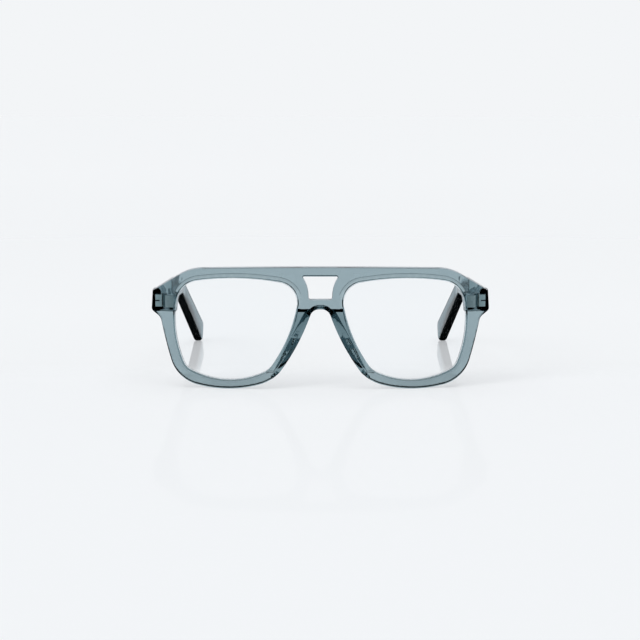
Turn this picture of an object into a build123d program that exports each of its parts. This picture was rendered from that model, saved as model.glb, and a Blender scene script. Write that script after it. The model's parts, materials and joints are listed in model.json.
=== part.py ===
from build123d import *
from math import asin, cos, degrees, radians, sin, sqrt, tan
import os

os.makedirs("parts", exist_ok=True)

# Double bridge spectacles in clear tinted acetate, in millimetres and degrees.
# Everything is drawn with the front upright: X to the wearer's left, Y from the front
# towards the ears, Z up from the lowest point of the rims. At the end the whole frame
# leans forward until rims and temple tips stand on one level floor.

# Front sheet
lens_width = 52.5
lens_height = 43.9
bridge_width = 20.2
brow_height = 4.9
lower_rim_height = 4.1
temporal_margin = 10.3
front_thickness = 4.0
wrap_radius = 300.0
front_edge_rounding = 0.6
outline_rounding = 0.8
back_edge_rounding = 0.5

# Bevel round the back of each eye, seen through the acetate as a line above the lens
bevel_width = 1.9
bevel_depth = 0.75

# Lenses in their grooves
lens_radius = 180.0
lens_thickness = 1.5
lens_set_forward = 0.2
groove_depth = 0.7
lens_edge_chamfer = 0.4
lens_clearance = 0.05

# Nose arch and pads
arch_splay = 20.0
pad_splay = 32.0
pad_eye_slope = 14.0
pad_eye_inset = 0.3
pad_height = 3.0
pad_top_height = 1.7
pad_top_run = 1.7
pad_foot_height = 0.9
pad_foot_run = 1.5
pad_bond_gap = 0.04

# Thick end piece that carries the hinge
end_block_width = 9.1
end_block_proud = 0.1
end_block_below_hinge = 4.4
end_block_shelf = 3.3
end_block_corner = 1.6
end_block_rounding = 0.4

# Hinge with five knuckles on one screw
knuckle_radius = 1.25
knuckle_height = 1.0
knuckle_gap = 0.05
knuckle_count = 5
hinge_setback = 0.25
hinge_inset = 1.7
sink_clearance = 0.03
leaf_bite = 0.4
screw_radius = 0.7
screw_clearance = 0.02
screw_head_radius = 1.15
screw_head_height = 0.5
screw_slot_width = 0.3
screw_slot_depth = 0.25
front_anchor_width = 3.6
front_anchor_depth = 2.6
stud_rows = 4
stud_columns = 3
stud_size = 0.7
stud_height = 0.6
temple_lug_height = 2.3
temple_lug_depth = 2.5
temple_lug_length = 6.0
temple_plate_length = 8.5
temple_plate_thickness = 0.9
temple_plate_proud = 0.25
temple_plate_corner = 1.2

# Temples
temple_thickness = 4.2
butt_gap = 0.15
butt_height = 10.1
butt_above_hinge = 0.35
bar_length = 84.0
bar_drop = 5.9
bar_toe_in = 2.45
bend_height = 7.7
tail_length = 57.8
tail_drop = 27.9
tip_height = 10.4
tip_slant = 3.4
bend_upper_radius = 28.0
bend_lower_radius = 20.0
tip_lower_radius = 3.0
tip_upper_radius = 3.2
tail_inward = 7.9
inward_bend_radius = 45.0
temple_rounding = 1.5

# Core wire in each temple bar
core_wire_height = 2.0
core_wire_thickness = 1.0
core_wire_length = 66.0
core_wire_point = 3.0
core_wire_gap = 0.5

# One overrun serves every cut
overrun = 12.0

# Height of the hinge, as a share of the front height
hinge_height_share = 0.694

# Sizes that follow
lens_turn = degrees(asin((bridge_width + lens_width) / 2 / wrap_radius))
lens_reach = lens_width / 2 * cos(radians(lens_turn))
lens_centre_x = bridge_width / 2 + lens_reach
lens_centre_z = lower_rim_height + lens_height / 2
half_width = lens_centre_x + lens_reach + temporal_margin
front_height = lower_rim_height + lens_height + brow_height
back_radius = wrap_radius - front_thickness
end_block_back = wrap_radius - sqrt(back_radius**2 - half_width**2) + end_block_proud
end_block_inner_x = half_width - end_block_width
knuckle_pitch = knuckle_height + knuckle_gap
stack_height = knuckle_count * knuckle_pitch - knuckle_gap
hinge_height = hinge_height_share * front_height
stack_bottom = hinge_height - stack_height / 2
temple_inner_x = half_width - temple_thickness
hinge_x = temple_inner_x - hinge_inset
hinge_y = end_block_back + hinge_setback + knuckle_radius
butt_y = end_block_back + butt_gap
butt_centre_height = hinge_height + butt_above_hinge

# Front outline, anticlockwise from the bridge down round the wearer's left rim and back
# along the brow. Each corner has its place, then the rounding of the corner and the bulge
# of the stretch that follows it, as shares of half the front width and the front height.
# The arch over the nose has its place and rounding as shares of the bridge width.
arch_half_share = 0.1675
arch_top_share = 0.6605
arch_rounding_share = 0.196
arch_bulge_share = 0.0287
rim_corner_shares = [
    (0.268, 0.0820, 0.372, 0.0840),
    (0.8545, 0.0775, 0.286, 0.0095),
    (0.9475, 0.5696, 0.082, 0),
    (1.0023, 0.6291, 0.037, 0),
    (0.9945, 0.7862, 0.015, 0),
    (0.7701, 0.9775, 0.383, 0.0240),
]

# Lens outline from the upper corner beside the nose: places as shares of half the lens
# width and half its height, rounding and bulge as shares of its height.
lens_corner_shares = [
    (-1.030, 0.847, 0.200, 0.0635),
    (-0.529, -0.813, 0.220, 0.1105),
    (0.850, -0.802, 0.135, 0.0825),
    (0.925, 0.8625, 0.256, 0.0690),
]

# Opening between the two bridges: its foot, then its top, as the outline's rows are given
aperture_corner_shares = [
    (0.509, 0.736, 0.019, -0.0195),
    (0.788, 0.929, 0.011, 0),
]

# Reach of each pad up its rim and the height of its crown, as shares of the front height
pad_top_share = 0.657
pad_crown_share = 0.36
pad_foot_share = 0.095


def placed(rows, width, height, unit):
    """Rows of shares turned into corners: x, z, rounding and bulge in millimetres."""
    return [(x * width, z * height, rounding * unit, bulge * unit) for x, z, rounding, bulge in rows]


def with_twins(corners):
    """Corners of the left half followed by their mirror images, walked the same way round."""
    twins = []
    for index in reversed(range(len(corners))):
        x, z, rounding, _ = corners[index]
        bulge_before = corners[index - 1][3] if index else 0
        twins.append((-x, z, rounding, bulge_before))
    return corners + twins


def rounded_face(corners):
    """Face inside a closed chain of lines and arcs whose corners are then rounded."""
    edges = []
    for index, (x, z, _, bulge) in enumerate(corners):
        following = corners[(index + 1) % len(corners)][:2]
        if bulge:
            edges.append(SagittaArc((x, z), following, -bulge))
        else:
            edges.append(Line((x, z), following))
    face = make_face(edges)
    for x, z, rounding, _ in corners:
        if rounding:
            corner = face.vertices().sort_by_distance((x, z, 0))[0]
            face = fillet(corner, rounding)
    return face


def stand(shape):
    """Turn a shape drawn flat upright, so that what rose from the drawing runs back."""
    return mirror(Rot(90, 0, 0) * shape, about=Plane.XZ)


def twin(shape):
    """The same piece for the wearer's right side."""
    return mirror(shape, about=Plane.YZ)


def wrap_depth(x, radius):
    """How far back a curved face of the front lies at a distance from the middle."""
    return wrap_radius - sqrt(radius**2 - x**2)


def wrap_drum(radius):
    """Upright drum whose near side is a curved face of the front."""
    drum = Cylinder(radius, front_height + 2 * overrun)
    return Pos(0, wrap_radius, front_height / 2) * drum


def block(low, high):
    """Box between two opposite corners."""
    size = [end - start for start, end in zip(low, high)]
    centre = [(start + end) / 2 for start, end in zip(low, high)]
    return Pos(*centre) * Box(*size)


def on_drum(edge, radius):
    """Whether an edge lies on the curved face of that radius."""
    return all(
        abs(sqrt(point.X**2 + (point.Y - wrap_radius) ** 2) - radius) < back_edge_rounding / 50
        for point in (edge @ 0.1, edge @ 0.45, edge @ 0.8)
    )


def arch_corner():
    """Upper corner of the nose arch on the wearer's left."""
    place = (arch_half_share * bridge_width, arch_top_share * front_height)
    return (*place, arch_rounding_share * bridge_width, arch_bulge_share * front_height)


def rim_corners():
    return placed(rim_corner_shares, half_width, front_height, front_height)


def front_sheet():
    """Flat outline of the front, run back far enough to be bent."""
    outline = rounded_face(with_twins([arch_corner()] + rim_corners()))
    return stand(extrude(outline, 2 * overrun))


def lens_outline():
    rows = placed(lens_corner_shares, lens_width / 2, lens_height / 2, lens_height)
    return rounded_face(rows)


def at_left_eye(shape):
    """Carry a shape drawn about the lens centre to the wearer's left eye."""
    place = Pos(lens_centre_x, wrap_depth(lens_centre_x, wrap_radius), lens_centre_z)
    return place * Rot(0, 0, lens_turn) * shape


def eye_hole():
    through = stand(extrude(lens_outline(), 2 * overrun + front_thickness))
    return at_left_eye(Pos(0, -overrun, 0) * through)


def aperture():
    corners = placed(aperture_corner_shares, bridge_width / 2, front_height, front_height)
    outline = rounded_face(with_twins(corners))
    return Pos(0, -overrun, 0) * stand(extrude(outline, 2 * overrun))


def splayed_arch(start, angle):
    """Space for the nose, which widens towards the back by an angle from a given depth."""
    x, z, rounding, bulge = arch_corner()
    foot_x, foot_z = rim_corners()[0][:2]
    corners = [(x, z, rounding, 0), (-x, z, rounding, -bulge), (-foot_x, foot_z, 0, 0)]
    corners += [(-foot_x, -overrun, 0, 0), (foot_x, -overrun, 0, 0), (foot_x, foot_z, 0, -bulge)]
    return Pos(0, start, 0) * stand(extrude(rounded_face(corners), overrun, taper=-angle))


def grown(face, reach):
    """An outline of arcs moved outward, each arc as an arc about the same centre."""
    edges = []
    for edge in face.edges():
        moved = []
        for share in (0, 0.5, 1):
            point = edge @ share
            outward = Vector((edge % share).Y, -(edge % share).X)
            if outward.dot(point - face.center()) < 0:
                outward = -outward
            moved.append(point + outward * reach)
        edges.append(ThreePointArc(*moved))
    return make_face(edges)


def lens(growth):
    """Curved lens with a bevelled edge. With growth it is the groove that takes the lens."""
    reach = groove_depth - lens_clearance + growth
    apex = lens_radius - lens_set_forward
    disc = Pos(0, -overrun, 0) * stand(extrude(grown(lens_outline(), reach), 2 * overrun))
    disc &= Pos(0, apex, 0) * Sphere(lens_radius + growth)
    disc -= Pos(0, apex, 0) * Sphere(lens_radius - lens_thickness - growth)
    rim = disc.edges().filter_by(GeomType.LINE, reverse=True)
    return at_left_eye(chamfer(rim, lens_edge_chamfer))


def end_block():
    """Thick end of the front, flat behind, with a shelf towards the eye for the hinge."""
    low = hinge_height - end_block_below_hinge
    high = front_height + overrun
    shelf_top = hinge_height + end_block_shelf
    wall = block((end_block_inner_x, 0, low), (half_width + overrun, end_block_back, high))
    shelf = block(
        (end_block_inner_x - overrun / 2, 0, low),
        (end_block_inner_x + end_block_corner, end_block_back, shelf_top),
    )
    solid = wall + shelf
    inside = [
        edge
        for edge in solid.edges().filter_by(Axis.Y)
        if abs(edge.center().X - end_block_inner_x) < end_block_corner / 2
    ]
    solid = fillet(inside, end_block_corner)
    solid &= front_sheet()
    solid &= wrap_drum(wrap_radius - front_thickness / 2)
    rear = [
        edge
        for edge in solid.edges()
        if abs((edge @ 0.5).Y - end_block_back) + abs((edge @ 0.1).Y - end_block_back) < 0.01
        and edge.center().X > end_block_inner_x - end_block_corner / 4
    ]
    return fillet(rear, end_block_rounding)


def front_body():
    """Curved acetate front before its grooves and hinge pockets are cut."""
    body = (front_sheet() & wrap_drum(wrap_radius)) - wrap_drum(back_radius)
    body -= aperture()
    body -= splayed_arch(0, arch_splay)
    rear = [edge for edge in body.edges() if on_drum(edge, back_radius)]
    body = fillet(rear, back_edge_rounding)
    holes = [eye_hole(), twin(eye_hole())]
    body -= holes[0] + holes[1]
    rear = []
    for edge in body.edges():
        if on_drum(edge, back_radius):
            middle = Vertex(*(edge @ 0.5))
            if min(hole.distance_to(middle) for hole in holes) < back_edge_rounding / 10:
                rear.append(edge)
    back_face = body.faces().sort_by(SortBy.AREA)[-2:]
    back_face = [face for face in back_face if any(rear[0].is_same(edge) for edge in face.edges())]
    body = chamfer(rear, bevel_width, bevel_depth, reference=back_face[0])
    ends = end_block() - holes[0]
    body += ends + twin(ends)
    forward = [edge for edge in body.edges() if on_drum(edge, wrap_radius)]
    eyes = []
    for edge in forward:
        middle = Vertex(*(edge @ 0.5))
        if min(hole.distance_to(middle) for hole in holes) < front_edge_rounding / 10:
            eyes.append(edge)
    outline = [edge for edge in forward if edge not in eyes]
    body = fillet(outline, outline_rounding)
    return fillet(eyes, front_edge_rounding)


def nose_pad(front):
    """Pad bonded behind the rim: crowned, splayed away from the nose, faded at its ends."""
    foot = pad_foot_share * front_height
    top = pad_top_share * front_height
    crown = pad_crown_share * front_height
    back = front_thickness
    profile = make_face(
        [
            Polyline(
                (back + pad_top_height, top - pad_top_run),
                (back, top),
                (back / 2, top),
                (back / 2, foot),
                (back, foot),
                (back + pad_foot_height, foot + pad_foot_run),
            ),
            ThreePointArc(
                (back + pad_foot_height, foot + pad_foot_run),
                (back + pad_height, crown),
                (back + pad_top_height, top - pad_top_run),
            ),
        ]
    )
    pad = extrude(Plane.YZ * profile, lens_centre_x) & front_sheet()
    arch_start = back - back * tan(radians(arch_splay)) / tan(radians(pad_splay))
    pad -= splayed_arch(0, arch_splay) + splayed_arch(arch_start, pad_splay)
    nose_side_sag = (lens_width / 2) ** 2 / (2 * wrap_radius)
    eye_start = back + nose_side_sag - pad_eye_inset / tan(radians(pad_eye_slope))
    slope = stand(extrude(lens_outline(), overrun, taper=-pad_eye_slope))
    pad -= at_left_eye(Pos(0, eye_start, 0) * slope)
    pad -= eye_hole()
    pad -= block((lens_centre_x / 2 + bridge_width / 4, 0, 0), (half_width, overrun, front_height))
    return pad - Pos(0, pad_bond_gap, 0) * front


def knuckle(level):
    """One knuckle of the hinge, counted from the bottom."""
    turned = Cylinder(knuckle_radius, knuckle_height)
    return Pos(hinge_x, hinge_y, knuckle_middle(level)) * turned


def knuckle_middle(level):
    return stack_bottom + level * knuckle_pitch + knuckle_height / 2


def screw_hole():
    hole = Cylinder(screw_radius + screw_clearance, stack_height + overrun)
    return Pos(hinge_x, hinge_y, hinge_height) * hole


def front_anchor(growth):
    """Metal foot sunk in the end block, with rows of studs that grip the acetate."""
    foot = block(
        (
            hinge_x - front_anchor_width - growth,
            end_block_back - front_anchor_depth - growth,
            stack_bottom - growth,
        ),
        (hinge_x + growth, end_block_back, stack_bottom + stack_height + growth),
    )
    stud = Box(stud_size + 2 * growth, stud_height + growth, stud_size + 2 * growth)
    stud_y = end_block_back - front_anchor_depth - (stud_height + growth) / 2
    for row in range(stud_rows):
        for column in range(stud_columns):
            x = hinge_x - (column + 0.5) * front_anchor_width / stud_columns
            z = stack_bottom + (row + 0.5) * stack_height / stud_rows
            foot += Pos(x, stud_y, z) * stud
    return foot


def front_leaf():
    leaf = front_anchor(0)
    for level in range(0, knuckle_count, 2):
        middle = knuckle_middle(level)
        leaf += knuckle(level)
        leaf += block(
            (hinge_x - knuckle_radius, end_block_back - leaf_bite, middle - knuckle_height / 2),
            (hinge_x, hinge_y, middle + knuckle_height / 2),
        )
    return leaf - screw_hole()


def temple_anchor(growth):
    """Plate let into the inner face of the temple, with two lugs that go deeper."""
    plate = block(
        (temple_inner_x - temple_plate_proud, butt_y, stack_bottom - growth),
        (
            temple_inner_x + temple_plate_thickness - temple_plate_proud + growth,
            butt_y + temple_plate_length + growth,
            stack_bottom + stack_height + growth,
        ),
    )
    ends = plate.edges().filter_by(Axis.X).group_by(Axis.Y)[-1]
    anchor = fillet(ends, temple_plate_corner)
    for side in (-1, 1):
        middle = hinge_height + side * (stack_height - temple_lug_height) / 2
        anchor += block(
            (temple_inner_x, butt_y, middle - temple_lug_height / 2 - growth),
            (
                temple_inner_x + temple_lug_depth + growth,
                butt_y + temple_lug_length + growth,
                middle + temple_lug_height / 2 + growth,
            ),
        )
    return anchor


def temple_leaf():
    leaf = temple_anchor(0)
    for level in range(1, knuckle_count, 2):
        middle = knuckle_middle(level)
        leaf += knuckle(level)
        leaf += block(
            (hinge_x, hinge_y, middle - knuckle_height / 2),
            (temple_inner_x + leaf_bite, hinge_y + knuckle_radius, middle + knuckle_height / 2),
        )
    return leaf - screw_hole()


def hinge_screw():
    stack_top = stack_bottom + stack_height
    shank = Cylinder(screw_radius, stack_height, align=(Align.CENTER, Align.CENTER, Align.MIN))
    head = Cylinder(
        screw_head_radius, screw_head_height, align=(Align.CENTER, Align.CENTER, Align.MIN)
    )
    head = fillet(head.edges().group_by(Axis.Z)[-1], screw_head_height / 3)
    slot = Box(2 * screw_head_radius, screw_slot_width, 2 * screw_slot_depth)
    screw = Pos(0, 0, stack_bottom) * shank + Pos(0, 0, stack_top) * head
    screw -= Pos(0, 0, stack_top + screw_head_height) * slot
    return Pos(hinge_x, hinge_y, 0) * screw


def aside(centre, heading, distance):
    """Point beside a centre line, square to a heading given in degrees."""
    angle = radians(heading)
    return (centre[0] - distance * sin(angle), centre[1] + distance * cos(angle))


def along(start, heading, distance):
    """Point further along a heading given in degrees."""
    angle = radians(heading)
    return (start[0] + distance * cos(angle), start[1] + distance * sin(angle))


def temple_side():
    """Side view of the temple, run sideways: a straight bar, then the tail over the ear."""
    bar_heading = -bar_drop
    tail_heading = -bar_drop - tail_drop
    middle_heading = (bar_heading + tail_heading) / 2
    butt = (butt_y, butt_centre_height)
    bend = along(butt, bar_heading, bar_length)
    tip = along(bend, tail_heading, tail_length)
    half_bend = bend_height / 2 / cos(radians(tail_drop / 2))
    lower_tip = aside(along(tip, tail_heading, tip_slant / 2), tail_heading, -tip_height / 2)
    upper_tip = aside(along(tip, tail_heading, -tip_slant / 2), tail_heading, tip_height / 2)
    corners = [
        (butt[0], butt[1] - butt_height / 2, 0, 0),
        (*aside(bend, middle_heading, -half_bend), bend_lower_radius, 0),
        (*lower_tip, tip_lower_radius, 0),
        (*upper_tip, tip_upper_radius, 0),
        (*aside(bend, middle_heading, half_bend), bend_upper_radius, 0),
        (butt[0], butt[1] + butt_height / 2, 0, 0),
    ]
    return extrude(Plane.YZ * rounded_face(corners), half_width + overrun)


def temple_plan():
    """Top view of the temple, run up and down: straight, then turned in behind the ear."""
    bar_heading = 90 + bar_toe_in
    tail_heading = 90 + tail_inward
    middle_heading = (bar_heading + tail_heading) / 2
    start = (temple_inner_x, butt_y)
    bend = along(start, bar_heading, bar_length * cos(radians(bar_drop)) + inward_setback())
    end = along(bend, tail_heading, tail_length + overrun)
    half_turn = radians((tail_inward - bar_toe_in) / 2)
    outer_bend = aside(bend, middle_heading, -temple_thickness / cos(half_turn))
    outer_radius = inward_bend_radius + temple_thickness
    corners = [
        (*start, 0, 0),
        (start[0] + temple_thickness, start[1], 0, 0),
        (*outer_bend, outer_radius, 0),
        (*aside(end, tail_heading, -temple_thickness), 0, 0),
        (*end, 0, 0),
        (*bend, inward_bend_radius, 0),
    ]
    plan = extrude(rounded_face(corners), tail_length + butt_centre_height + 2 * overrun)
    return Pos(0, 0, -tail_length - overrun) * plan


def inward_setback():
    """The tail turns in a little behind the point where it turns down."""
    return bend_height * tan(radians(tail_drop / 2)) + bend_height / 4


def core_wire(growth):
    """Flat wire in the middle of the temple bar, pointed at its far end."""
    length = core_wire_length + growth
    half = core_wire_height / 2 + growth
    tip = core_wire_thickness / 2
    outline = make_face(
        Polyline(
            (-growth, -half),
            (length - core_wire_point, -half),
            (length, -tip),
            (length, tip),
            (length - core_wire_point, half),
            (-growth, half),
            close=True,
        )
    )
    thickness = core_wire_thickness + 2 * growth
    wire = Pos(-thickness / 2, 0, 0) * extrude(Plane.YZ * outline, thickness)
    station = temple_plate_length + core_wire_gap
    place = Pos(
        temple_inner_x + temple_thickness / 2 - station * tan(radians(bar_toe_in)),
        butt_y + station,
        butt_centre_height - station * tan(radians(bar_drop)),
    )
    return place * Rot(0, 0, bar_toe_in) * Rot(-bar_drop, 0, 0) * wire


def temple_body():
    body = temple_side() & temple_plan()
    long_edges = [
        edge for edge in body.edges() if max((edge @ 0.1).Y, (edge @ 0.9).Y) > butt_y + butt_gap
    ]
    return fillet(long_edges, temple_rounding)


def forward_lean(rims, temple):
    """Turn about X that brings the rims and the temple tips down to one floor."""
    lean = bar_drop / 2
    for _ in range(6):
        rims_box = (Rot(lean, 0, 0) * rims).bounding_box()
        temple_box = (Rot(lean, 0, 0) * temple).bounding_box()
        rise = temple_box.min.Z - rims_box.min.Z
        lean -= degrees(rise / temple_box.max.Y)
    return lean


# Build the wearer's left side and the front, cut what is sunk into them, then twin it
front = front_body()
left_pad = nose_pad(front)
groove = lens(lens_clearance)
pocket = front_anchor(sink_clearance)
for sunk in (groove, pocket):
    front = front - sunk - twin(sunk)
temple = temple_body() - temple_anchor(sink_clearance) - core_wire(sink_clearance)

left_pieces = {
    "nose_pad": left_pad,
    "lens": lens(0),
    "front_hinge_leaf": front_leaf(),
    "temple_hinge_leaf": temple_leaf(),
    "hinge_screw": hinge_screw(),
    "temple": temple,
    "core_wire": core_wire(0),
}
pieces = {"front": front}
for name, piece in left_pieces.items():
    pieces[f"{name}_left"] = piece
    pieces[f"{name}_right"] = twin(piece)

# Stand it on the floor, with the origin under the middle of its box
lean = forward_lean(front, temple)
leaned = Compound(children=[Rot(lean, 0, 0) * piece for piece in pieces.values()])
box = leaned.bounding_box()
rest = Pos(0, -(box.min.Y + box.max.Y) / 2, -box.min.Z) * Rot(lean, 0, 0)
for name, piece in pieces.items():
    export_step(rest * piece, f"parts/{name}.step")

hinge_point = (rest * Vertex(hinge_x, hinge_y, hinge_height)).center()
print("lean", round(lean, 3), "width", round(2 * half_width, 2), "size", box.size)
print("left hinge at", [round(value, 4) for value in hinge_point])
print("hinge axis", [0, round(-sin(radians(lean)), 5), round(cos(radians(lean)), 5)])
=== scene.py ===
# %% [markdown]
# # Double bridge glasses in clear tinted acetate
# A pair of glasses is cut from sheets of acetate, a plastic that light passes through.
# Almost everything seen of it is light that went in on one side and came out on another,
# so the picture depends on true solids with true thickness more than on painted colour.
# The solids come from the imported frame; this file gives them smooth skins, see-through
# materials, a pale table, soft light and a camera.

# %% Load the frame
import json
import math
import bmesh
import bpy
import numpy as np
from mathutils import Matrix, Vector
from mathutils.kdtree import KDTree


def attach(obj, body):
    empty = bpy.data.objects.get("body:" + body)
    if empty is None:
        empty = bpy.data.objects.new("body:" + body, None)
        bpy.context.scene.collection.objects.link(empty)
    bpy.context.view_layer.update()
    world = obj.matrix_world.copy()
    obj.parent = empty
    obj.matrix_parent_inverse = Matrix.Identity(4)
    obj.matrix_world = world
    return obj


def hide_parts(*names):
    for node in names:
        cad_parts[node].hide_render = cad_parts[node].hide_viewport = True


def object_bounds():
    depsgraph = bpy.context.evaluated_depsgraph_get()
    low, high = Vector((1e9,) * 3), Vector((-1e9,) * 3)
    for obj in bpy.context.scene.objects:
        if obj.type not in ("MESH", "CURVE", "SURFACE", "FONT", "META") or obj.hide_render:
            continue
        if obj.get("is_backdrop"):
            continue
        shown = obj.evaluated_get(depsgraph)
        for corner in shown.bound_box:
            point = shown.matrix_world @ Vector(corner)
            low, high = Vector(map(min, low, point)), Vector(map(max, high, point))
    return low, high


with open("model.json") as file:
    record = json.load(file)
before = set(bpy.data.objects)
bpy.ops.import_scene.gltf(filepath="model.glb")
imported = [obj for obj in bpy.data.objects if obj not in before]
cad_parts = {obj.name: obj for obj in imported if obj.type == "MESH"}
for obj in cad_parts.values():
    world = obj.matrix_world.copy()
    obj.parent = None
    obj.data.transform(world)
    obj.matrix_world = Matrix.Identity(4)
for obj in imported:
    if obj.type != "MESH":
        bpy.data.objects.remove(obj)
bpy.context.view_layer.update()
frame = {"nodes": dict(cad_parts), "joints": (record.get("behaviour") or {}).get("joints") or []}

MM = 0.001

# %% [markdown]
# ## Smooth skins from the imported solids
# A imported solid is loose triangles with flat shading. Seen through clear acetate each flat
# facet would bend the light its own way, like cut glass. A polished frame needs a skin whose
# normals turn smoothly over the curved faces and break only at real edges. So each solid is
# copied, its doubled corners are merged, and edges sharper than a chosen angle stay sharp.

# %% Copy and merge a solid
SAME_POINT = 0.5e-6


def merged_copy(node, name):
    """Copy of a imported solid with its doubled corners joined, as a new object at the origin."""
    mesh = frame["nodes"][node].data.copy()
    mesh.name = name
    mesh.materials.clear()
    work = bmesh.new()
    work.from_mesh(mesh)
    bmesh.ops.remove_doubles(work, verts=work.verts, dist=SAME_POINT)
    work.to_mesh(mesh)
    work.free()
    piece = bpy.data.objects.new(name, mesh)
    bpy.context.scene.collection.objects.link(piece)
    return piece


def smooth_skin(piece, degrees):
    """Shade smooth wherever two facets meet at less than the angle, and sharp elsewhere."""
    mesh = piece.data
    for name in ("custom_normal", "sharp_face", "sharp_edge"):
        if name in mesh.attributes:
            mesh.attributes.remove(mesh.attributes[name])
    mesh.shade_smooth()
    mesh.set_sharp_from_angle(angle=math.radians(degrees))


print("solids to copy:", len(frame["nodes"]))


# %% Read and write whole arrays
def rows(items, name):
    """One row of three numbers for each item of a mesh, such as the normal of each face."""
    values = np.empty(3 * len(items))
    items.foreach_get(name, values)
    return values.reshape(-1, 3)


def corners(piece):
    """All corner points of a piece as one array, a row for each."""
    return rows(piece.data.vertices, "co")


def put_corners(piece, points):
    """Write an array of corner points back into a piece."""
    piece.data.vertices.foreach_set("co", np.ascontiguousarray(points).ravel())
    piece.data.update()


print("corners of the front as packed:", len(frame["nodes"]["front"].data.vertices))

# %% [markdown]
# ## The way through the leaning sheet
# The glasses stand on their lower rims and the tips of their temples, so the front leans
# back a little. The axis of a hinge stands upright in the sheet, so its tilt is the lean,
# and the direction square to it leads through the sheet from its face to its back. Both are
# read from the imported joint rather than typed, so they follow the solids.

# %% Read the lean from the hinge
hinge = frame["joints"][0]
hinge_point = np.array(hinge["pos_m"])
hinge_axis = np.array(hinge["axis"]) / np.linalg.norm(hinge["axis"])
lean = math.atan2(-hinge_axis[1], hinge_axis[2])
back = np.array([0.0, math.cos(lean), math.sin(lean)])
print("hinge at, mm:", (1000 * hinge_point).round(2), "lean, degrees:", round(math.degrees(lean), 2))

# %% [markdown]
# ## The front with its bonded pads
# On the real frame the two nose pads are glued to the back of the front with solvent, which
# melts both surfaces into one. In clear acetate a gap of even a hair would shine like a
# mirror, so the pads are pressed a little into the front here and the three are made one
# solid with a boolean union.

# %% Join solids into one
ACETATE_SMOOTH = 24
PAD_SINK = 0.08 * MM


def weld(piece, *others):
    """One closed solid out of several that overlap."""
    for other in others:
        union = piece.modifiers.new("weld", "BOOLEAN")
        union.operation = "UNION"
        union.solver = "EXACT"
        union.object = other
        depsgraph = bpy.context.evaluated_depsgraph_get()
        joined = bpy.data.meshes.new_from_object(piece.evaluated_get(depsgraph))
        piece.modifiers.clear()
        piece.data = joined
        bpy.data.objects.remove(other)
    return piece


front = merged_copy("front", "front_acetate")
pads = [merged_copy(f"nose_pad_{side}", f"pad_{side}") for side in ("left", "right")]
for pad in pads:
    put_corners(pad, corners(pad) - PAD_SINK * back)
weld(front, *pads)
smooth_skin(front, ACETATE_SMOOTH)
print("front and pads:", len(front.data.vertices), "corners")

# %% [markdown]
# ## The line where the eye bevel starts
# A wide shallow bevel runs along the back of the sheet towards each lens. It leaves the
# back at an angle that smooth shading would blur, but a real frame shows a fine dark line
# there. The edges of that line are found by where they lie and by their angle, and a narrow
# strip is cut along them. Its faces take the second material of the front, a painted shade
# line, above a chosen height, because the line shows under the brow only.

# %% Cut the strip along the bevel
DRUM_RADIUS = 300.0 * MM
SHEET_THICKNESS = 4.0 * MM
ON_BACK = 0.03 * MM
LEAST_TURN = math.radians(12)
MOST_TURN = math.radians(40)
LINE_WIDTH = 0.12 * MM
LINE_BOTTOM = 41.5 * MM


def mark_bevel(piece):
    """Keep the line sharp where the shallow eye bevel leaves the back of the bent sheet.

    The sheet is bent round an upright drum. A corner is on its back when its distance from
    the drum's axis is the drum's radius less the thickness of the sheet.
    """
    points = corners(piece)
    depth = points @ back
    off_axis = np.hypot(points[:, 0], DRUM_RADIUS - (depth - depth.min()))
    on_back = np.abs(off_axis - (DRUM_RADIUS - SHEET_THICKNESS)) < ON_BACK
    work = bmesh.new()
    work.from_mesh(piece.data)
    line = []
    for edge in work.edges:
        flat = all(on_back[vert.index] for vert in edge.verts)
        if flat and LEAST_TURN < edge.calc_face_angle(0.0) < MOST_TURN:
            line.append(edge)
    made = bmesh.ops.bevel(work, geom=line, offset=LINE_WIDTH / 2, segments=1, affect="EDGES")
    for face in made["faces"]:
        # Strip faces above the line's bottom take the front's second material, the painted shade
        # line.
        face.material_index = int(face.calc_center_median().z > LINE_BOTTOM)
        for edge in face.edges:
            edge.smooth = False
    work.to_mesh(piece.data)
    work.free()
    return len(line)


print("edges on the bevel line:", mark_bevel(front))

# %% [markdown]
# ## Temples, lenses and metal
# The other solids only need their skins. The metal that is sunk in the acetate was pressed
# in hot, so the plastic touches it all over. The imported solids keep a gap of 0.03 mm there.
# Light would reflect off such a gap and hide the metal, so the sunk metal is grown by a
# little more than the gap, moving each face outward along its own normal. The knuckles of
# the hinge stay as they are, because they turn on each other.

# %% Grow a solid
GROWTH = 0.045 * MM


def grown(piece, distance, chosen):
    """Move each chosen corner so that every face at it shifts outward by the distance."""
    work = bmesh.new()
    work.from_mesh(piece.data)
    work.normal_update()
    shift = np.array([vert.normal * vert.calc_shell_factor() for vert in work.verts])
    work.free()
    put_corners(piece, corners(piece) + distance * shift * chosen[:, None])


def leaf_copy(node, barrel, towards, seat):
    """Hinge leaf, grown where it lies further from the barrel than its seat, in a direction."""
    piece = merged_copy(node, node + "_metal")
    in_acetate = (corners(piece) - barrel) @ towards > seat
    grown(piece, GROWTH, in_acetate)
    return piece


print("growth of the sunk metal, mm:", round(1000 * GROWTH, 3))

# %% Copy the other pieces
SIDES = {"left": 1, "right": -1}
HARD_SMOOTH = 30
FRONT_SEAT = 1.52 * MM
TEMPLE_SEAT = 1.46 * MM

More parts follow.
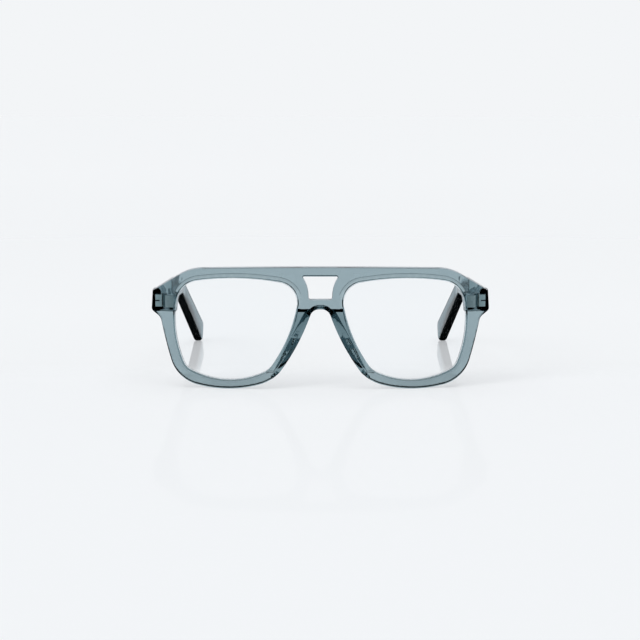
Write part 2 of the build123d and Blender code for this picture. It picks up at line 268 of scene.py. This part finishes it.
temples, lenses, leaves, screws, wires = [], [], [], [], []
for side, sign in SIDES.items():
    temple = merged_copy(f"temple_{side}", f"temple_{side}_acetate")
    smooth_skin(temple, ACETATE_SMOOTH)
    temples.append(temple)

    lens = merged_copy(f"lens_{side}", f"lens_{side}_clear")
    smooth_skin(lens, HARD_SMOOTH)
    lenses.append(lens)

    barrel = np.array([sign * hinge_point[0], *hinge_point[1:]])
    outward = np.array([sign, 0.0, 0.0])
    leaves.append(leaf_copy(f"front_hinge_leaf_{side}", barrel, -back, FRONT_SEAT))
    leaves.append(leaf_copy(f"temple_hinge_leaf_{side}", barrel, outward, TEMPLE_SEAT))

    screws.append(merged_copy(f"hinge_screw_{side}", f"hinge_screw_{side}_metal"))

    wire = merged_copy(f"core_wire_{side}", f"core_wire_{side}_metal")
    grown(wire, GROWTH, np.ones(len(wire.data.vertices)))
    wires.append(wire)
for piece in leaves + screws + wires:
    smooth_skin(piece, HARD_SMOOTH)
print(len(temples + lenses + leaves + screws + wires), "more pieces")

# %% [markdown]
# ## The small rounding at each eye
# The rim of a polished frame is rounded by a few tenths of a millimetre where its face
# meets the lens. A few facets stand for that rounding, and each would throw a spark of the
# softbox, like a cut stone. Their corner normals are turned to the normal of the sheet's
# face, so light crosses them as it crosses the face beside them.

# %% Calm the rounding
ROUNDING_DEPTH = 0.62 * MM
ROUNDING_REACH = 2.2 * MM
LEAST_FACING = 0.15
MOST_FACING = 0.9999


def corner_tree(pieces):
    """Search tree of all corner points of some pieces, for the nearest one to a place."""
    tree = KDTree(sum(len(item.data.vertices) for item in pieces))
    for count, point in enumerate(np.concatenate([corners(item) for item in pieces])):
        tree.insert(point, count)
    tree.balance()
    return tree


def sag(x):
    """How far the bent face lies behind its middle at a place across the frame."""
    return DRUM_RADIUS - math.sqrt(DRUM_RADIUS**2 - x**2)


def calm_rounding(piece, around):
    """Give the small front facets near the lenses the normal of the bent face beside them.

    That normal points from the axis of the drum to the corner.
    """
    mesh = piece.data
    points = corners(piece)
    depth = points @ back
    depth -= depth.min()
    radial = np.zeros_like(points)
    radial[:, 0] = points[:, 0]
    radial -= (DRUM_RADIUS - depth)[:, None] * back
    radial /= np.linalg.norm(radial, axis=1)[:, None]
    normals = rows(mesh.corner_normals, "vector")
    calmed = 0
    for face in mesh.polygons:
        facing = face.normal @ Vector(radial[face.vertices[0]])
        deepest = max(depth[index] for index in face.vertices)
        shallow = deepest < ROUNDING_DEPTH + sag(face.center.x)
        near = around.find(face.center)[2] < ROUNDING_REACH
        if LEAST_FACING < facing < MOST_FACING and shallow and near:
            for loop in face.loop_indices:
                normals[loop] = radial[mesh.loops[loop].vertex_index]
            calmed += 1
    mesh.normals_split_custom_set(normals)
    return calmed


lens_corners = corner_tree(lenses)
print("facets calmed:", calm_rounding(front, lens_corners))

# %% [markdown]
# ## Shader maths as plain expressions
# Node trees are easier to read as sums than as boxes and noodles. The class below wraps one
# socket, so that adding or multiplying two wrapped sockets adds the Math node that does it.
# Any other kind of node comes from the one method at its start.


# %% Wrap a socket
class Value:
    """One output socket that can be used in Python sums."""

    def __init__(self, tree, socket):
        self.tree, self.socket = tree, socket

    def node(self, kind, settings=(), **inputs):
        """Add a node: its type, then its settings, then its sockets by name or by number."""
        node = self.tree.nodes.new(kind)
        for name, value in dict(settings).items():
            setattr(node, name, value)
        for name, value in inputs.items():
            socket = node.inputs[int(name[1:]) if name[1:].isdigit() else name.replace("_", " ")]
            if isinstance(value, Value):
                self.tree.links.new(value.socket, socket)
            else:
                socket.default_value = value
        return node

    def math(self, operation, left, right=0.0):
        """Wrapped result of one Math node."""
        node = self.node("ShaderNodeMath", {"operation": operation}, i0=left, i1=right)
        return Value(self.tree, node.outputs[0])

    def __add__(self, other):
        return self.math("ADD", self, other)

    def __radd__(self, other):
        return self.math("ADD", other, self)

    def __sub__(self, other):
        return self.math("SUBTRACT", self, other)

    def __rsub__(self, other):
        return self.math("SUBTRACT", other, self)

    def __mul__(self, other):
        return self.math("MULTIPLY", self, other)

    def __rmul__(self, other):
        return self.math("MULTIPLY", other, self)


print("operators ready: + - *")


# %% Helpers for patterns and materials
def start_material(name):
    """Empty material with its shader, and the object coordinates as a wrapped socket."""
    material = bpy.data.materials.new(name)
    material.use_nodes = True
    tree = material.node_tree
    tree.nodes.clear()
    output = tree.nodes.new("ShaderNodeOutputMaterial")
    shader = tree.nodes.new("ShaderNodeBsdfPrincipled")
    tree.links.new(shader.outputs["BSDF"], output.inputs["Surface"])
    place = Value(tree, tree.nodes.new("ShaderNodeTexCoord").outputs["Object"])
    return material, tree, shader, output, place


def noise(place, scale, detail=3.0, roughness=0.5):
    """Soft cloudy pattern in the range 0 to 1."""
    sockets = dict(Vector=place, Scale=scale, Detail=detail, Roughness=roughness)
    return Value(place.tree, place.node("ShaderNodeTexNoise", **sockets).outputs["Fac"])


def brushed(place, stretch, detail):
    """Lines instead of clouds: a noise that is squeezed across the lines."""
    squeezed = place.node("ShaderNodeMapping", Vector=place, Scale=stretch)
    return noise(Value(place.tree, squeezed.outputs[0]), 1.0, detail, 0.6)


def blend(factor, first, second):
    """Colour that runs from the first to the second as the factor runs from 0 to 1."""
    colours = dict(i6=(*first, 1), i7=(*second, 1))
    node = factor.node("ShaderNodeMix", {"data_type": "RGBA"}, i0=factor, **colours)
    return Value(factor.tree, node.outputs[2])


def eased(value, start, end, first=0.0, last=1.0):
    """Smooth step of a wrapped socket: the first value before the start, the last past the end."""
    limits = dict(i1=start, i2=end, i3=first, i4=last)
    smooth = {"interpolation_type": "SMOOTHSTEP"}
    node = value.node("ShaderNodeMapRange", smooth, i0=value, **limits)
    return Value(value.tree, node.outputs["Result"])


def bump(height, strength, distance):
    """Normal that is tilted as if the surface rose with the height."""
    node = height.node("ShaderNodeBump", Height=height, Strength=strength, Distance=distance)
    return Value(height.tree, node.outputs["Normal"])


def stored(tree, name):
    """Number that the mesh itself keeps for each of its points or faces under this name."""
    node = tree.nodes.new("ShaderNodeAttribute")
    node.attribute_name = name
    return Value(tree, node.outputs["Fac"])


def soak(tree, output, colour, density):
    """Fill the solid with a volume that takes a share of the light on its way through."""
    volume = tree.nodes.new("ShaderNodeVolumeAbsorption")
    volume.inputs["Color"].default_value = (*colour, 1)
    volume.inputs["Density"].default_value = density
    tree.links.new(volume.outputs["Volume"], output.inputs["Volume"])


def feed(tree, shader, **sockets):
    """Link wrapped sockets, or set plain values, on the shader."""
    for name, value in sockets.items():
        socket = shader.inputs[name.replace("_", " ")]
        if isinstance(value, Value):
            tree.links.new(value.socket, socket)
        else:
            socket.default_value = value


print("pattern helpers ready")

# %% [markdown]
# ## Where the acetate mirrors the dark
# Some walls of clear acetate look black, because from where one stands they mirror the dark
# part of the room. On this frame those are the undersides of the bent ear ends, seen from
# outside, and the rounded back edge of the lower rims, seen through the sheet. The plain
# room here has no dark part low down, so the mesh keeps a number that says how dark each
# place is, and the material mixes in a matt black there, a painted dark reflection. A number
# on the mesh stays where it is when the glasses fold, as a painted place does.


# %% Keep numbers on a mesh
def ramp(values, start, end):
    """Smooth step from 0 at the start to 1 at the end."""
    share = np.clip((values - start) / (end - start), 0, 1)
    return share * share * (3 - 2 * share)


def keep(mesh, name, domain, values):
    """Keep one number for each point or face of a mesh, for a material to read."""
    attribute = mesh.attributes.new(name, "FLOAT", domain)
    attribute.data.foreach_set("value", values.astype(np.float32))


print("half way along the smooth step:", ramp(np.array([0.5]), 0, 1)[0])

# %% Dark undersides of the ear ends, a painted dark reflection
TAIL_START, TAIL_FULL = 5 * MM, 20 * MM
DOWN_START, DOWN_FULL = 0.25, 0.5

for temple in temples:
    down = ramp(-rows(temple.data.vertices, "normal")[:, 2], DOWN_START, DOWN_FULL)
    tail = ramp(corners(temple)[:, 1], TAIL_START, TAIL_FULL)
    keep(temple.data, "underside", "POINT", down * tail)
print("underside masks on", len(temples), "temples")

# %% Dark back edge of the lower rims, a painted dark reflection
RIM_SHADE = 0.9
RIM_TOP, RIM_FULL = 28 * MM, 20 * MM
NOSE_START, NOSE_END = 19 * MM, 23 * MM
BACKWARD_START, BACKWARD_FULL = 0.1, 0.25
FLAT_START, FLAT_FULL = 0.95, 0.98
DOWNWARD_START, DOWNWARD_FULL = 0.03, 0.12

centres = rows(front.data.polygons, "center")
facing = rows(front.data.polygons, "normal")
backward = facing @ back
rounded = ramp(backward, BACKWARD_START, BACKWARD_FULL) * (1 - ramp(backward, FLAT_START, FLAT_FULL))
low = ramp(-centres[:, 2], -RIM_TOP, -RIM_FULL)
aside = ramp(np.abs(centres[:, 0]), NOSE_START, NOSE_END)
outer = ramp(-facing[:, 2], DOWNWARD_START, DOWNWARD_FULL)
rim = rounded * low * aside * outer
keep(front.data, "underside", "FACE", RIM_SHADE * rim)
print("faces of the lower rims' rounded back edge:", int((rim > 0.5).sum()))

# %% The lens grooves
GROOVE_REACH = 1.2 * MM

in_groove = np.array([lens_corners.find(centre)[2] < GROOVE_REACH for centre in centres])
keep(front.data, "groove", "FACE", in_groove)
print("faces in the lens grooves:", int(in_groove.sum()))


# %% Mix in a matt black, the painted dark reflection
def shade_underside(tree, shader, output, place, from_inside):
    """Painted dark reflection: matt black where the piece's own number says so, as seen from outside
    or inside.
    """
    lines = brushed(place, (900.0, 120.0, 120.0), 3.0)
    # Painted dark reflection: a brushed near-black without any reflection of its own.
    matt = tree.nodes.new("ShaderNodeBsdfPrincipled")
    feed(
        tree,
        matt,
        Base_Color=blend(lines, (0.0015, 0.002, 0.0025), (0.006, 0.008, 0.009)),
        Roughness=0.5 + lines * 0.2,
        Specular_IOR_Level=0.0,
    )
    inside = Value(tree, tree.nodes.new("ShaderNodeNewGeometry").outputs["Backfacing"])
    seen = stored(tree, "underside") * (inside if from_inside else 1 - inside)
    both = tree.nodes.new("ShaderNodeMixShader")
    tree.links.new(seen.socket, both.inputs[0])
    tree.links.new(shader.outputs["BSDF"], both.inputs[1])
    tree.links.new(matt.outputs["BSDF"], both.inputs[2])
    tree.links.new(both.outputs["Shader"], output.inputs["Surface"])


print("ear ends are dark from outside, rims from inside")

# %% [markdown]
# ## Tinted acetate
# The colour of clear acetate is a matter of depth: a thin edge is nearly clear, and a view
# along the sheet is nearly black. A surface colour can't do that. Light is let into a clear
# shader and a volume soaks up a share of it for each millimetre it travels, most of all in
# the red, which leaves grey-blue. The surface adds a faint tint, a coat without any
# reflection, which grows where light crosses it at a slant and so draws the edges darker:
# partly a tint of the sheet and partly painted shade along the edges. It is left out in the
# lens grooves, where light has more surfaces to cross, and it fades on the lowest rims and at
# the nose, which paints those places lighter, painted light where the real frame looks paler.
# The pale room would lie as a veil on the sheet, so the specular tint is black and only the
# light that goes through is left. Hand polishing leaves a surface that is very slightly wavy
# with faint hairlines, given by noises in the roughness and the bump.

# %% Where the surface tint fades, painted light on the lowest rims and at the nose
TINT_START, TINT_FULL = 4 * MM, 13 * MM
NOSE_HALF, NOSE_EDGE = 20 * MM, 26 * MM
NOSE_TOP, NOSE_FADE = 27 * MM, 33 * MM


def painted_light_tint_share(tree, place):
    """Share of the surface tint that is left: none on the lowest rims and at the nose, which paints
    them lighter.
    """
    apart = place.node("ShaderNodeSeparateXYZ", Vector=place)
    across, height = Value(tree, apart.outputs["X"]), Value(tree, apart.outputs["Z"])
    sideways = eased(across.math("ABSOLUTE", across), NOSE_HALF, NOSE_EDGE)
    nose = (1 - sideways) * (1 - eased(height, NOSE_TOP, NOSE_FADE))
    return eased(height, TINT_START, TINT_FULL) * (1 - nose)


print("surface tint starts at, mm:", round(1000 * TINT_START, 1))

# %% Acetate material
ACETATE_IOR = 1.49
NO_MIRROR_IOR = 1.01
POLISH_DEPTH = 0.02 * MM


def tinted_acetate(name, colour, density, rind, is_front):
    """Clear plastic whose volume has the colour, under a thin surface tint, the rind, which also
    paints the edges darker.
    """
    material, tree, shader, output, place = start_material(name)
    shade_underside(tree, shader, output, place, is_front)
    waves = noise(place, 90.0, 2.0)
    hairlines = brushed(place, (400.0, 400.0, 4200.0), 3.0)
    pitting = noise(place, 2600.0, 2.0)
    wear = waves * 0.5 + pitting * 0.5
    rind_and_painted_light_share = 1 - stored(tree, "groove")
    if is_front:
        # Fading the tint on the lowest rims and at the nose is painted light there.
        rind_and_painted_light_share = rind_and_painted_light_share * painted_light_tint_share(tree, place)
    feed(
        tree,
        shader,
        Base_Color=blend(wear, (0.985, 0.99, 0.995), (0.96, 0.975, 0.985)),
        Roughness=0.008 + hairlines * 0.02 + pitting * 0.012,
        Normal=bump(waves * 0.85 + hairlines * 0.15, 0.05, POLISH_DEPTH),
        Transmission_Weight=1.0,
        IOR=ACETATE_IOR,
        Coat_Weight=rind_and_painted_light_share,
        Coat_IOR=NO_MIRROR_IOR,
        Coat_Roughness=0.0,
        Coat_Tint=(*rind, 1),
        Specular_Tint=(0.0, 0.0, 0.0, 1),
    )
    soak(tree, output, colour, density)
    return material


print("acetate bends light by", ACETATE_IOR)

# %% Mix the two acetates
# Absorption of red, green and blue in each millimetre, and the head room that keeps the
# volume's colour above black
LOSS = np.array([0.262, 0.205, 0.19])
HEAD_ROOM = 1.25
TEMPLE_DEEPER = 1.2

density = 1000 * LOSS.max() * HEAD_ROOM
colour = tuple(1 - 1000 * LOSS / density)
acetate = tinted_acetate("grey_blue_acetate", colour, density, (0.95, 0.955, 0.96), True)
temple_acetate = tinted_acetate(
    "grey_blue_acetate_temple", colour, TEMPLE_DEEPER * density, (0.93, 0.94, 0.945), False
)
print("acetate volume colour", np.round(colour, 3), "density", density)

# %% [markdown]
# ## Clear lenses and the painted bevel line
# The lenses are clear hard plastic without any power, about 1.5 mm thick, and coated so
# that they hardly reflect. They show only by a slight cool cast at their rims. A coating of
# many thin layers is more than a shader needs: a refractive index close to 1 takes the
# reflections away just as well, and a touch of absorption gives the cast.
# The narrow strip along the eye bevel is painted dull and dark, a painted shade line at the bevel's
# edge.

# %% Lens material
COATED_IOR = 1.08
HAZE_DEPTH = 0.01 * MM


def clear_lens(name):
    """Clear plastic with hardly any reflection and the faint marks of wiping."""
    material, tree, shader, output, place = start_material(name)
    haze = noise(place, 140.0, 3.0)
    specks = noise(place, 5200.0, 1.0)
    feed(
        tree,
        shader,
        Base_Color=blend(haze, (0.995, 0.998, 1.0), (0.985, 0.992, 0.998)),
        Roughness=0.002 + specks * 0.006,
        Normal=bump(haze, 0.02, HAZE_DEPTH),
        Transmission_Weight=1.0,
        IOR=COATED_IOR,
    )
    soak(tree, output, (0.55, 0.85, 1.0), 14.0)
    return material


lens_plastic = clear_lens("clear_lens_plastic")
print("lens material:", len(lens_plastic.node_tree.nodes), "nodes")


# %% Material of the painted bevel line
def tool_line(name):
    """Fine dull dark line, painted shade where the eye bevel leaves the back of the sheet."""
    material, tree, shader, _, place = start_material(name)
    breaks = noise(place, 900.0, 2.0)
    feed(
        tree,
        shader,
        Base_Color=blend(breaks, (0.06, 0.09, 0.11), (0.16, 0.20, 0.22)),
        Roughness=0.55 + breaks * 0.2,
        Specular_IOR_Level=0.0,
    )
    return material


painted_line_material = tool_line("tool_line")
print("line material:", len(painted_line_material.node_tree.nodes), "nodes")

# %% [markdown]
# ## Nickel silver and steel
# Hinge leaves are stamped from nickel silver and tumbled, which leaves a satin face with
# fine brushing. The screw is turned from steel, brighter, with tight rings round its head.
# The wire in each temple is drawn, so its lines run along it. A leaf deep in the acetate
# gets its light through the plastic from all round, which a path tracer rarely finds, so
# the face of the sunk leaf gives off a little light of its own.


# %% Metal material
def satin_metal(name, light, dark, grain, roughness, depth, glow=0.0):
    """Metal whose brushing follows the stretch of the grain: large numbers across the lines."""
    material, tree, shader, _, place = start_material(name)
    brushing = brushed(place, grain, 4.0)
    tarnish = noise(place, 700.0, 3.0)
    feed(
        tree,
        shader,
        Base_Color=blend(brushing * 0.5 + tarnish * 0.5, light, dark),
        Roughness=roughness + brushing * 0.16 + tarnish * 0.06,
        Metallic=1.0,
        Normal=bump(brushing, 0.35, depth),
    )
    if glow > 0:
        lit = blend(brushing, tuple(glow * v for v in light), tuple(glow * v for v in dark))
        feed(tree, shader, Emission_Color=lit, Emission_Strength=1.0)
    return material


STAMPED_GRAIN = (2500, 9000, 9000)
TURNED_GRAIN = (7000, 7000, 3000)
DRAWN_GRAIN = (9000, 350, 9000)
TUMBLED_DEPTH = 0.006 * MM
FINE_DEPTH = 0.004 * MM
SUNK_GLOW = 0.55

nickel_dark = (0.86, 0.85, 0.82)
nickel = satin_metal(
    "satin_nickel", (0.98, 0.97, 0.94), nickel_dark, STAMPED_GRAIN, 0.2, TUMBLED_DEPTH
)
sunk = satin_metal(
    "sunk_nickel", (0.98, 0.96, 0.92), nickel_dark, STAMPED_GRAIN, 0.2, TUMBLED_DEPTH, SUNK_GLOW
)
steel = satin_metal(
    "screw_steel", (0.78, 0.79, 0.80), (0.5, 0.51, 0.53), TURNED_GRAIN, 0.14, FINE_DEPTH
)
drawn = satin_metal(
    "drawn_wire", (0.82, 0.81, 0.78), (0.6, 0.59, 0.56), DRAWN_GRAIN, 0.18, FINE_DEPTH
)
print("metals:", nickel.name, sunk.name, steel.name, drawn.name)

# %% [markdown]
# ## Dress the pieces and hang them on the bodies
# Each piece gets its material. Then it is told which body carries it, so that it folds with
# that body, and which imported solids it replaces. The lenses, the screws and the front
# leaves stay with the front, and the temple leaves and the core wires turn with the temples.

# %% Dress each piece
dressed = [(front, acetate, "acetate")]
dressed += [(piece, temple_acetate, "acetate") for piece in temples]
dressed += [(piece, lens_plastic, "clear_lens") for piece in lenses]
dressed += [(piece, nickel, "hinge_metal") for piece in leaves]
dressed += [(piece, steel, "screw_metal") for piece in screws]
dressed += [(piece, drawn, "wire_metal") for piece in wires]
for piece, material, slot in dressed:
    piece.data.materials.append(material)
# The front's second material: the painted shade line along the eye bevel.
front.data.materials.append(painted_line_material)
print("pieces dressed:", len(dressed))

# %% Light the sunk faces of the temple leaves
FACES_AHEAD = -0.9

for leaf in leaves:
    leaf.data.materials.append(sunk)
    if leaf.name.startswith("temple"):
        for face in leaf.data.polygons:
            past_barrel = abs(face.center.x) - hinge_point[0]
            if face.normal @ Vector(back) < FACES_AHEAD and past_barrel > TEMPLE_SEAT:
                face.material_index = 1
print("leaves with a sunk face:", sum(leaf.name.startswith("temple") for leaf in leaves))

# %% Hang the pieces on the bodies
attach(front, "front")
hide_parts("front", "nose_pad_left", "nose_pad_right")
for side, temple, lens, screw, wire in zip(SIDES, temples, lenses, screws, wires):
    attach(lens, "front")
    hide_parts(f"lens_{side}")
    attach(screw, "front")
    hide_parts(f"hinge_screw_{side}")
    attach(temple, f"temple_{side}")
    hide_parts(f"temple_{side}")
    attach(wire, f"temple_{side}")
    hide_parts(f"core_wire_{side}")
for leaf in leaves:
    node = leaf.name.removesuffix("_metal")
    body = "front" if node.startswith("front") else node.replace("_hinge_leaf", "")
    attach(leaf, body)
    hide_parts(node)

# %% [markdown]
# ## Table, light and camera
# The glasses stand open on a glossy white board that fades into a white room, without any
# edge between the two. Two things do that. The board and the room have the same colour, and
# the board gives off a good part of it by itself wherever the eye, a mirror or a clear
# piece looks at it, so its shadows stay faint, while the lamps fall on the object at a plain
# level. A thin gloss sets in just ahead of the rims and mirrors the temple tips behind them.
# The room is plain too, with a dim band between the white walls and the overhead softbox,
# so that tilted edges of acetate have something darker to mirror.

# %% Board material
PALE = (0.896, 0.913, 0.930)
SELF_LIT = 0.6
GLOSS_START, GLOSS_END = -0.05, 0.0
GLOSS_IN_FRONT, GLOSS_BEHIND = 0.08, 0.9


def pale_board(name):
    """Pale board that is partly lit by itself, with a gloss that grows towards the back."""
    material, tree, shader, _, place = start_material(name)
    grain = noise(place, 60.0, 2.0)
    apart = place.node("ShaderNodeSeparateXYZ", Vector=place)
    depth = Value(tree, apart.outputs["Y"])
    path = tree.nodes.new("ShaderNodeLightPath")
    seen = Value(tree, path.outputs["Is Camera Ray"]) + Value(tree, path.outputs["Is Glossy Ray"])
    seen = seen + Value(tree, path.outputs["Is Transmission Ray"])
    glow = seen.math("MINIMUM", seen, 1.0)
    lit = tuple((1 - SELF_LIT) * v for v in PALE)
    feed(
        tree,
        shader,
        Base_Color=blend(grain, lit, tuple(0.99 * v for v in lit)),
        Roughness=0.5,
        Specular_IOR_Level=0.0,
        Coat_Weight=eased(depth, GLOSS_START, GLOSS_END, GLOSS_IN_FRONT, GLOSS_BEHIND),
        Coat_Roughness=0.025,
        Coat_IOR=1.45,
        Emission_Color=blend(glow, (0, 0, 0), tuple(SELF_LIT * v for v in PALE)),
        Emission_Strength=1.0,
    )
    return material


board = pale_board("pale_board")
print("board gives off", SELF_LIT, "of its colour")

# %% Table
TABLE_HALF = 3.0
STATIONS = 3

stations = np.linspace(-TABLE_HALF, TABLE_HALF, STATIONS)
grid_x, grid_y = np.meshgrid(stations, stations)
table_points = np.stack([grid_x, grid_y, np.zeros_like(grid_x)], -1).reshape(-1, 3)
corner = np.arange(STATIONS * STATIONS).reshape(STATIONS, STATIONS)
round_a_cell = (corner[:-1, :-1], corner[:-1, 1:], corner[1:, 1:], corner[1:, :-1])
cells = np.stack(round_a_cell, -1).reshape(-1, 4)
table_mesh = bpy.data.meshes.new("table")
table_mesh.from_pydata(table_points.tolist(), [], cells.tolist())
table = bpy.data.objects.new("table", table_mesh)
bpy.context.scene.collection.objects.link(table)
table_mesh.materials.append(board)
table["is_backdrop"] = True
print("table cells:", len(cells))

# %% Room
CEILING = (0.05, 0.055, 0.06)
BAND_START, BAND_FULL = 0.42, 0.55
SOFTBOX_START, SOFTBOX_FULL = 0.70, 0.82

world = bpy.data.worlds.new("room")
bpy.context.scene.world = world
world.use_nodes = True
sky = world.node_tree
background = sky.nodes["Background"]
background.inputs["Strength"].default_value = 1.0
towards = Value(sky, sky.nodes.new("ShaderNodeTexCoord").outputs["Generated"])
height = Value(sky, towards.node("ShaderNodeSeparateXYZ", Vector=towards).outputs["Z"])
band = eased(height, BAND_START, BAND_FULL)
dim = band * eased(height, SOFTBOX_START, SOFTBOX_FULL, 1.0, 0.0)
sky.links.new(blend(dim, PALE, CEILING).socket, background.inputs["Color"])
print("dim band from, degrees up:", round(math.degrees(math.asin(BAND_START))))


# %% Lamps
def soft_sun(name, from_where, width, strength):
    """Broad even light from one direction, as from a large softbox far away.

    Clear pieces don't refract the lamp's own disc, which would be a hard spark.
    """
    data = bpy.data.lights.new(name, "SUN")
    data.angle = math.radians(width)
    data.energy = strength
    item = bpy.data.objects.new(name, data)
    item.visible_transmission = False
    item.rotation_euler = Vector(from_where).to_track_quat("Z", "Y").to_euler()
    bpy.context.scene.collection.objects.link(item)
    return item


overhead = soft_sun("overhead_softbox", (0.0, -0.35, 1.0), 50, 0.76)
from_left = soft_sun("left_softbox", (-1.0, -0.9, 0.9), 25, 0.9)
print("lamps:", overhead.name, from_left.name)

# %% Camera
PITCH = math.radians(8.002)
STAND_BACK = 0.92049
EYE_HEIGHT = 0.14954
FOCAL_LENGTH = 112.81
SENSOR_WIDTH = 36.0
PICTURE_WIDTH = 640
PIXELS_LEFT = 0.35
NEAREST, FARTHEST = 0.05, 50.0

camera_data = bpy.data.cameras.new("camera")
camera_data.sensor_width = SENSOR_WIDTH
camera_data.lens = FOCAL_LENGTH
camera_data.clip_start = NEAREST
camera_data.clip_end = FARTHEST
camera_data.shift_x = -PIXELS_LEFT / PICTURE_WIDTH
camera = bpy.data.objects.new("camera", camera_data)
camera.location = (0.0, -STAND_BACK, EYE_HEIGHT)
camera.rotation_euler = (math.pi / 2 - PITCH, 0.0, 0.0)
bpy.context.scene.collection.objects.link(camera)
bpy.context.scene.camera = camera
bpy.context.scene.view_settings.view_transform = "Standard"
print("camera looks down by, degrees:", round(math.degrees(PITCH), 2))

# %% Sizes and finish
bpy.context.view_layer.update()
low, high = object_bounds()
print("box of the pieces, mm:", [round(1000 * v, 2) for v in (*low, *high)])
